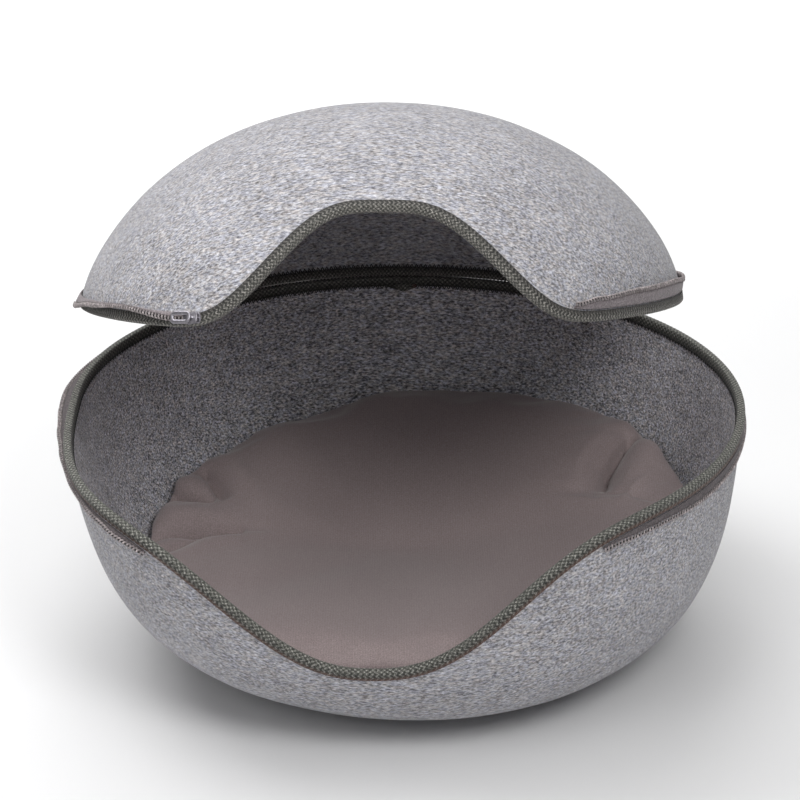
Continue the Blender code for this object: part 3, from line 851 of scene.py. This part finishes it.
def teeth_piece(name, shell, table, looks, node):
    """The coil: a wire wound flat round the tape's free edge, one turn a tooth."""
    length = zip_azimuths(shell, table, 0.01)[2]
    turns = int(length / TOOTH_PITCH)
    azimuth, _, _ = zip_azimuths(shell, table, length / (turns * TOOTH_STEPS))
    centre = tape_lines(shell, table, azimuth)[3]
    fold = tape_lines(shell, table, azimuth)[1]
    away = unit(centre - fold)
    aside = np.stack((-away[:, 1], away[:, 0]), axis=1)
    turn = 2.0 * pi * np.arange(len(azimuth)) / TOOTH_STEPS
    reach = COIL_RADIUS - TOOTH_WIRE - TOOTH_REACH + np.cos(turn) * TOOTH_REACH
    section = centre + away * reach[:, None] + aside * (np.sin(turn) * TOOTH_RISE)[:, None]
    line = to_frame(shell, shell.at_edge(azimuth, section[:, 0], section[:, 1]))
    mesh = tubes_mesh(name, [line], TOOTH_WIRE, 6)
    return add_piece(name, mesh, node, looks, node)


def core_piece(name, shell, table, looks, slot):
    """The cord inside the coil, which the sewing thread holds."""
    azimuth, _, _ = zip_azimuths(shell, table, 0.003)
    centre = tape_lines(shell, table, azimuth)[3]
    line = to_frame(shell, shell.at_edge(azimuth, centre[:, 0], centre[:, 1]))
    return add_piece(name, tubes_mesh(name, [line], 0.00055, 8), slot, looks)


def coil_stitches(name, shell, table, looks, slot):
    """Two rows of sewing thread over the coil, one short stitch a tooth."""
    azimuth, _, _ = zip_azimuths(shell, table, TOOTH_PITCH)
    half = np.diff(azimuth).mean() * 0.36
    lines = []
    _, fold, _, coil = tape_lines(shell, table, azimuth)
    away = unit(coil - fold)
    aside = np.stack((-away[:, 1], away[:, 0]), axis=1)
    for side in (-1.0, 1.0):
        rows = []
        for reach, lift in ((-0.8, 0.55), (0.0, 0.95), (0.8, 0.55)):
            place = coil - away * 0.0016 + aside * (side * (TOOTH_RISE + TOOTH_WIRE) * lift)
            rows.append(to_frame(shell, shell.at_edge(azimuth + reach * half, place[:, 0], place[:, 1])))
        lines += list(np.stack(rows, axis=1))
    return add_piece(name, tubes_mesh(name, lines, 0.00016, 4), slot, looks)


def zigzag_piece(name, shell, looks, slot):
    """The zigzag that sews the binding's inner edge to the felt."""
    length = shell.even_azimuths(3)[2]
    count = int(length / ZIGZAG_PITCH)
    azimuth, _, _ = shell.even_azimuths(count * 6)
    step = np.arange(len(azimuth)) % 6 / 6.0
    swing = 1.0 - np.abs(2.0 * step - 1.0)
    into = BINDING_LEG - 0.0013 + swing * 0.0033
    lift = np.interp(into, (BINDING_LEG - 0.0002, BINDING_LEG + 0.0004), (BINDING_PROUD + 0.0001, 0.0003))
    line = to_frame(shell, shell.at_edge(azimuth, into, -FELT_THICK - lift))
    mesh = tubes_mesh(name, [line], 0.00040, 5, closed=True)
    return add_piece(name, mesh, slot, looks)


def overlap_piece(looks):
    """The binding's turned-under end at the middle of the bowl's back, a small flat triangle."""
    shell = BOWL
    centre, half = radians(181.0), radians(2.9)
    columns, rows = 17, 6
    azimuth = np.linspace(centre - half, centre + half, columns)
    grid = np.zeros((rows, columns, 3))
    fall = 1.0 - np.abs(np.linspace(-1.0, 1.0, columns) + 0.12) / 1.12
    for k in range(rows):
        share = k / (rows - 1)
        into = BINDING_LEG - 0.0015 + (0.0015 + 0.0042 * fall) * share
        lift = FELT_THICK + GAP + 0.0013 - 0.0003 * share
        grid[k] = to_frame(shell, shell.at_edge(azimuth, into, np.full(columns, -lift)))
    u = np.linspace(0.0, 0.022, columns)
    mesh = grid_mesh("bowl_binding_end", grid, False, False, np.linspace(0.002, 0.008, rows), u)
    made = add_piece("bowl_binding_end", mesh, "bowl_binding", looks)
    thick = made.modifiers.new("Thickness", "SOLIDIFY")
    thick.thickness = 0.0008
    thick.offset = 0.0
    return made


# ---------------------------------------------------------------- slider


def slider_matrix():
    azimuth = np.array([radians(SLIDER_AZIMUTH)])
    _, along, into, out = LID.edge_frame(azimuth)
    coil = tape_lines(LID, LID_ZIP, azimuth)[3]
    centre = LID.at_edge(azimuth, coil[:, 0], coil[:, 1])[0]
    place = Matrix([along[0], into[0], out[0]]).transposed().to_4x4()
    place.translation = Vector(centre)
    return LID.placed @ place


def plate_outline(length, width, waist):
    """A slider plate seen from above: broad at the nose, drawn in at the tail."""
    half = []
    for x, y in ((-0.5, 0.30), (-0.44, 0.40), (-0.20, waist), (0.08, 0.42), (0.34, 0.5), (0.46, 0.40), (0.5, 0.22)):
        half.append((x * length, y * width))
    return half + [(x, -y) for x, y in reversed(half)]


def slider_body(looks):
    work = bmesh.new()
    for low, high in ((-0.0021, -0.0012), (0.0012, 0.0021)):
        ring = [work.verts.new((x, y, low)) for x, y in plate_outline(0.0096, 0.0066, 0.33)]
        face = work.faces.new(ring)
        raised = bmesh.ops.extrude_face_region(work, geom=[face])
        tops = [v for v in raised["geom"] if isinstance(v, bmesh.types.BMVert)]
        bmesh.ops.translate(work, verts=tops, vec=(0.0, 0.0, high - low))
    for centre, size in (
        ((0.0030, 0.0, 0.0), (0.0022, 0.0012, 0.0026)),
        ((0.0000, 0.0028, -0.0010), (0.0070, 0.0006, 0.0009)),
        ((0.0000, -0.0028, -0.0010), (0.0070, 0.0006, 0.0009)),
        ((0.0000, 0.0028, 0.0010), (0.0070, 0.0006, 0.0009)),
        ((0.0000, -0.0028, 0.0010), (0.0070, 0.0006, 0.0009)),
    ):
        block = bmesh.ops.create_cube(work, size=1.0)["verts"]
        bmesh.ops.scale(work, verts=block, vec=size)
        bmesh.ops.translate(work, verts=block, vec=centre)
    bridge = []
    for k in range(9):
        a = pi * k / 8
        bridge.append(Vector((-0.0024 * cos(a), 0.0, 0.0019 + 0.0013 * sin(a))))
    for first, last in zip(bridge, bridge[1:]):
        block = bmesh.ops.create_cube(work, size=1.0)["verts"]
        bmesh.ops.scale(work, verts=block, vec=((last - first).length * 1.15, 0.0015, 0.0005))
        slope = Vector((last.x - first.x, last.z - first.z))
        turn = Matrix.Rotation(-np.arctan2(slope.y, slope.x), 4, "Y")
        bmesh.ops.transform(work, matrix=Matrix.Translation((first + last) / 2.0) @ turn, verts=block)
    bmesh.ops.recalc_face_normals(work, faces=work.faces)
    mesh = bpy.data.meshes.new("slider_body")
    work.to_mesh(mesh)
    work.free()
    mesh.transform(slider_matrix())
    made = add_piece("slider_body", mesh, "zip_slider", looks, "zip_slider")
    soft = made.modifiers.new("Rounding", "BEVEL")
    soft.width = 0.00028
    soft.segments = 3
    soft.limit_method = "ANGLE"
    mesh.shade_smooth()
    return made


def slider_pull(looks):
    """An open pull: an eye round the bridge, and two flat prongs joined at the far end."""
    outline = []
    length, width, corner = PULL_LENGTH - 0.0008, PULL_WIDTH - 0.0014, 0.0021
    for x, y, start in (
        (-corner, width / 2 - corner, 0.0),
        (corner - length, width / 2 - corner, 90.0),
        (corner - length, corner - width / 2, 180.0),
        (-corner, corner - width / 2, 270.0),
    ):
        for turn in np.linspace(0.0, 90.0, 7):
            a = radians(start + turn)
            outline.append((x + corner * cos(a), y + corner * sin(a), 0.0))
    line = np.array(outline)
    fine = []
    for first, last in zip(line, np.roll(line, -1, axis=0)):
        for share in (0.0, 0.5):
            fine.append(first + (last - first) * share)
    grid = tube_grid(np.array(fine), 0.00130, 12, closed=True)
    grid[..., 2] *= 0.55
    droop = Matrix.Translation((0.0, 0.0, 0.0035)) @ Matrix.Rotation(PULL_TURN, 4, "Z")
    place = np.array(slider_matrix() @ droop)
    mesh = grid_mesh("slider_pull_tab", grid @ place[:3, :3].T + place[:3, 3], True, True)
    return add_piece("slider_pull_tab", mesh, "slider_pull", looks, "slider_pull")


# ---------------------------------------------------------------- cushion

# Creases in the cushion's top, seen from above: their points in metres, how deep and how wide.
CREASES = (
    (((-0.1500, 0.0900), (-0.1403, 0.0724), (-0.1330, 0.0580)), 0.0080, 0.0034),
    (((-0.1760, 0.0670), (-0.1578, 0.0613), (-0.1400, 0.0585)), 0.0085, 0.0032),
    (((-0.1830, 0.0110), (-0.1699, 0.0181), (-0.1596, 0.0215), (-0.1416, 0.0225), (-0.1180, 0.0255)), 0.0100, 0.0034),
    (((-0.1730, -0.0100), (-0.1606, 0.0019), (-0.1480, 0.0120)), 0.0065, 0.0030),
    (((0.1500, 0.0930), (0.1379, 0.0722), (0.1309, 0.0587), (0.1253, 0.0341)), 0.0130, 0.0034),
)
RIDGE = ((0.1640, 0.0520), (0.1534, 0.0371), (0.1453, 0.0279), (0.1340, 0.0100))


def cushion_column(azimuth):
    crest = float(eased(CUSHION_CREST, np.degrees(azimuth) % 360.0, 1))
    inset = FELT_THICK + CUSHION_CLEAR
    column = []
    for share in CUSHION_WALL_RINGS:
        depth = -BOWL_RIM[2] * -1.0 - (inset + (crest - inset) * share)
        here = np.array([azimuth]), np.array([depth])
        column.append((BOWL.point(*here) - BOWL.normal(*here) * inset)[0])
    sole = column[0] * CUSHION_SOLE
    sole[2] = FELT_THICK + GAP - BOWL_RIM[2]
    for inwards, rise in CUSHION_TOP_RINGS:
        point = column[-1] * (1.0 - inwards)
        point[2] = CUSHION_MIDDLE + (crest - CUSHION_MIDDLE) * rise - BOWL_RIM[2]
        column.append(point)
    return [sole, *column]


def cushion_cage():
    """The smooth closed form that the CAD's cushion also follows."""
    turns = 2.0 * pi * np.arange(54) / 54
    rows = np.array([cushion_column(a) for a in turns]).transpose(1, 0, 2)
    work = bmesh.new()
    grid = [[work.verts.new(p) for p in row] for row in rows]
    count = len(turns)
    for near, far in zip(grid, grid[1:]):
        for i in range(count):
            work.faces.new((near[i], near[(i + 1) % count], far[(i + 1) % count], far[i]))
    for row, height in ((0, rows[0, 0, 2]), (len(grid) - 1, CUSHION_MIDDLE - BOWL_RIM[2])):
        tip = work.verts.new((0.0, 0.0, height))
        for i in range(count):
            work.faces.new((grid[row][i], grid[row][(i + 1) % count], tip))
    bmesh.ops.recalc_face_normals(work, faces=work.faces)
    bmesh.ops.translate(work, verts=work.verts, vec=BOWL_RIM)
    mesh = bpy.data.meshes.new("cushion_pad")
    work.to_mesh(mesh)
    work.free()
    return mesh


def applied(made):
    """The object's mesh with its modifiers in it, and no modifiers left."""
    shown = made.evaluated_get(bpy.context.evaluated_depsgraph_get())
    data = bpy.data.meshes.new_from_object(shown)
    made.modifiers.clear()
    made.data = data


def mesh_points(mesh):
    points = np.zeros(len(mesh.vertices) * 3, np.float32)
    mesh.vertices.foreach_get("co", points)
    return points.reshape(-1, 3).astype(float)


def set_points(mesh, points):
    mesh.vertices.foreach_set("co", points.astype(np.float32).ravel())
    mesh.update()


def line_distance(points, path):
    """From each point seen from above: how far the path is, on which side, and how far along it, 0 to 1."""
    path = np.array(path)
    best = np.full(len(points), 9.0)
    side = np.zeros(len(points))
    share = np.zeros(len(points))
    lengths = np.linalg.norm(np.diff(path, axis=0), axis=1)
    run = np.concatenate(([0.0], np.cumsum(lengths))) / lengths.sum()
    for k, (a, b) in enumerate(zip(path, path[1:])):
        step = b - a
        t = np.clip(((points - a) @ step) / (step @ step), 0.0, 1.0)
        off = points - a - t[:, None] * step
        far = np.linalg.norm(off, axis=1)
        nearer = far < best
        best = np.where(nearer, far, best)
        side = np.where(nearer, np.sign(step[0] * off[:, 1] - step[1] * off[:, 0]), side)
        share = np.where(nearer, run[k] + t * (run[k + 1] - run[k]), share)
    return best, side, share


def held_in_bowl(points):
    """The points, moved in from the bowl's felt and up from its floor where they would touch."""
    local = points - np.array(BOWL_RIM)
    azimuth, depth = BOWL.place(local)
    depth = np.clip(depth, 0.0, BOWL.depth * 0.995)
    face = BOWL.point(azimuth, depth)
    normal = BOWL.normal(azimuth, depth)
    over = ((local - face) * normal).sum(1) + FELT_THICK + 0.0012
    local = local - normal * np.maximum(over, 0.0)[:, None]
    local[:, 2] = np.maximum(local[:, 2], FELT_THICK + GAP - BOWL_RIM[2])
    return local + np.array(BOWL_RIM)


def swell(made):
    """Fills the pad by simulation, with its creases held, then caps how far any point has moved."""
    before = mesh_points(made.data)
    held = np.zeros(len(before))
    for path, _, width in CREASES:
        far, _, _ = line_distance(before[:, :2], path)
        held = np.maximum(held, np.exp(-((far / (width * 1.6)) ** 2)))
    held = np.where(before[:, 2] < 0.030, 1.0, held)
    pins = made.vertex_groups.new(name="held")
    for index in np.nonzero(held > 0.05)[0]:
        pins.add([int(index)], float(held[index]), "REPLACE")
    cloth = made.modifiers.new("Filled", "CLOTH")
    settings = cloth.settings
    settings.quality = 5
    settings.use_pressure = True
    settings.uniform_pressure_force = 4.0
    settings.effector_weights.gravity = 0.0
    settings.vertex_group_mass = "held"
    cloth.point_cache.frame_start, cloth.point_cache.frame_end = 1, 20
    scene = bpy.context.scene
    for frame_number in range(1, 21):
        scene.frame_set(frame_number)
    applied(made)
    scene.frame_set(1)
    after = mesh_points(made.data)
    moved = after - before
    size = np.linalg.norm(moved, axis=1, keepdims=True)
    cap = 0.005
    moved *= np.minimum(1.0, cap / np.maximum(size, 1e-9))
    set_points(made.data, held_in_bowl(before + moved))


def remeshed(made, voxel):
    remesh = made.modifiers.new("Even", "REMESH")
    remesh.mode = "VOXEL"
    remesh.voxel_size = voxel
    even = made.modifiers.new("Even_out", "SMOOTH")
    even.iterations = 4
    applied(made)


def crease(points, normals):
    """Presses the creases into the cushion's top, and lifts the cloth a little beside each."""
    upward = np.clip((normals[:, 2] - 0.1) / 0.5, 0.0, 1.0)
    change = np.zeros(len(points))
    for path, depth, width in CREASES:
        far, side, share = line_distance(points[:, :2], path)
        ends = np.sin(pi * np.clip(share, 0.0, 1.0)) ** 0.5
        ends = np.maximum(ends, np.where(share < 0.5, 0.75, 0.0))
        lean = np.where(side > 0, 1.0, 0.62)
        change -= depth * ends * np.exp(-((far / (width * lean)) ** 2) ** 0.8)
        change -= depth * 0.45 * ends * np.exp(-((far / (3.2 * width)) ** 2))
        change += depth * 0.30 * ends * np.exp(-(((far - 5.0 * width) / (3.0 * width)) ** 2))
    far, _, share = line_distance(points[:, :2], RIDGE)
    change += 0.0022 * np.exp(-((far / 0.0030) ** 2)) * np.sin(pi * np.clip(share, 0.02, 0.98))
    return points + normals * (change * upward)[:, None]


def cushion_piece(looks):
    made = add_piece("cushion_pad", cushion_cage(), "cushion", looks, "cushion")
    round_off = made.modifiers.new("Round", "SUBSURF")
    round_off.levels = round_off.render_levels = 2
    applied(made)
    remeshed(made, 0.0045)
    swell(made)
    finer = made.modifiers.new("Finer", "SUBSURF")
    finer.levels = finer.render_levels = 1
    applied(made)
    made.data.shade_smooth()
    normals = np.zeros(len(made.data.vertices) * 3, np.float32)
    made.data.vertices.foreach_get("normal", normals)
    points = crease(mesh_points(made.data), normals.reshape(-1, 3).astype(float))
    set_points(made.data, held_in_bowl(points))
    if not made.data.materials:
        made.data.materials.append(looks)
    return made


# ---------------------------------------------------------------- studio


def add_floor():
    work = bmesh.new()
    bmesh.ops.create_grid(work, x_segments=24, y_segments=24, size=6.0)
    mesh = bpy.data.meshes.new("floor")
    work.to_mesh(mesh)
    work.free()
    floor = bpy.data.objects.new("floor", mesh)
    floor.location.z = -0.0004
    bpy.context.scene.collection.objects.link(floor)
    mesh.materials.append(floor_looks())


def add_light(name, place, aim, size, power, spread=180.0):
    data = bpy.data.lights.new(name, "AREA")
    data.shape = "DISK"
    data.size = size
    data.energy = power
    data.spread = radians(spread)
    light = bpy.data.objects.new(name, data)
    light.location = place
    light.rotation_euler = (Vector(aim) - Vector(place)).to_track_quat("-Z", "Y").to_euler()
    bpy.context.scene.collection.objects.link(light)


def add_studio():
    add_floor()
    aim = (0.0, -0.05, 0.12)
    add_light("softbox_top", (-0.30, 0.10, 1.8), aim, 1.2, 9.1)
    add_light("softbox_top_left", (-1.0, 0.4, 1.6), aim, 1.0, 12.4)
    add_light("softbox_front_top", (0.0, -0.95, 2.0), aim, 1.3, 9.2)
    add_light("softbox_front_right", (0.6, -1.3, 1.5), aim, 0.7, 13.6)
    add_light("softbox_front_left", (-0.9, -1.0, 1.0), aim, 0.7, 2.4)
    add_light("fill_front", (0.0, -2.5, 1.5), aim, 1.2, 3.0)
    add_light("backdrop_wash", (0.0, 2.6, 2.2), (0.0, 2.5, 0.0), 2.4, 48.0, spread=112.0)
    world = bpy.data.worlds.new("soft_room")
    world.use_nodes = True
    world.node_tree.nodes["Background"].inputs["Color"].default_value = (1.0, 1.0, 1.0, 1.0)
    world.node_tree.nodes["Background"].inputs["Strength"].default_value = 0.15
    bpy.context.scene.world = world
    bpy.context.scene.view_settings.view_transform = "Standard"


def add_camera():
    """The photograph's view: 24.5 degrees down, from 1.8 m, with a long lens."""
    down = radians(24.5)
    data = bpy.data.cameras.new("camera")
    data.lens = 2726.0 / 800.0 * 36.0
    data.sensor_width = 36.0
    data.clip_start, data.clip_end = 0.05, 30.0
    camera = bpy.data.objects.new("camera", data)
    camera.location = (-0.0116, -1.8 * cos(down), 0.165 + 1.8 * sin(down))
    camera.rotation_euler = (pi / 2.0 - down, 0.0, 0.0)
    bpy.context.scene.collection.objects.link(camera)
    bpy.context.scene.camera = camera


def main():
    add_camera()
    felt = felt_looks()
    bowl_tape = binding_looks("ribbed_binding_bowl", RIB_PITCH["bowl"], (1.03, 0.97, 0.98), (0.045, 0.022, 0.017), (0.17, 0.09, 0.07))
    # On the lid the selvedge thread is near black: painted shadow along the line where the zip tape leaves the
    # binding.
    lid_tape = binding_looks("ribbed_binding_lid", RIB_PITCH["lid"], (1.04, 0.95, 0.97), (0.010, 0.010, 0.010), (0.05, 0.045, 0.042))
    # The same zip tape as two copies: darker on the bowl as painted shade, lighter on the lid as painted light.
    tapes = {"bowl": tape_looks("zip_tape_bowl_painted_shade", 0.105), "lid": tape_looks("zip_tape_lid_painted_light", 0.200)}
    # The same nylon teeth as two copies whose lightness differs per side as painted light and shade.
    teeth = {"bowl": teeth_looks("nylon_teeth_bowl", 0.330), "lid": teeth_looks("nylon_teeth_lid", 0.300)}
    dark_thread = thread_looks("dark_thread", (0.010, 0.010, 0.010), (0.035, 0.035, 0.033))
    # The core cord, coloured near black: a real cord whose colour is painted shade in the gaps between the teeth.
    core_thread_painted_shade = thread_looks("core_thread_painted_shade", (0.006, 0.005, 0.005), (0.018, 0.015, 0.015))
    brown_thread = thread_looks("brown_thread", (0.045, 0.034, 0.032), (0.13, 0.105, 0.10))
    metal = metal_looks()

    felt_piece("bowl_felt_shell", BOWL, felt, "bowl_felt")
    felt_piece("lid_felt_shell", LID, felt, "lid_felt")
    binding_piece("bowl_edge_binding", BOWL, RIB_PITCH["bowl"], bowl_tape, "bowl_binding")
    binding_piece("lid_edge_binding", LID, RIB_PITCH["lid"], lid_tape, "lid_binding")
    for side, shell, table in (("bowl", BOWL, BOWL_ZIP), ("lid", LID, LID_ZIP)):
        coil = teeth_piece(f"{side}_zip_teeth", shell, table, teeth[side], f"{side}_zip_coil")
        core = core_piece(f"{side}_zip_core", shell, table, core_thread_painted_shade, f"{side}_zip_coil")
        sewn = coil_stitches(f"{side}_zip_stitches", shell, table, brown_thread, f"{side}_zip_coil")
        tape_piece(f"{side}_tape", shell, table, tapes[side], f"{side}_zip_tape")
        zigzag_piece(f"{side}_zigzag", shell, dark_thread, f"{side}_binding")
    overlap_piece(bowl_tape)
    slider_body(metal)
    slider_pull(metal)
    cushion_piece(cushion_looks())
    add_studio()


main()
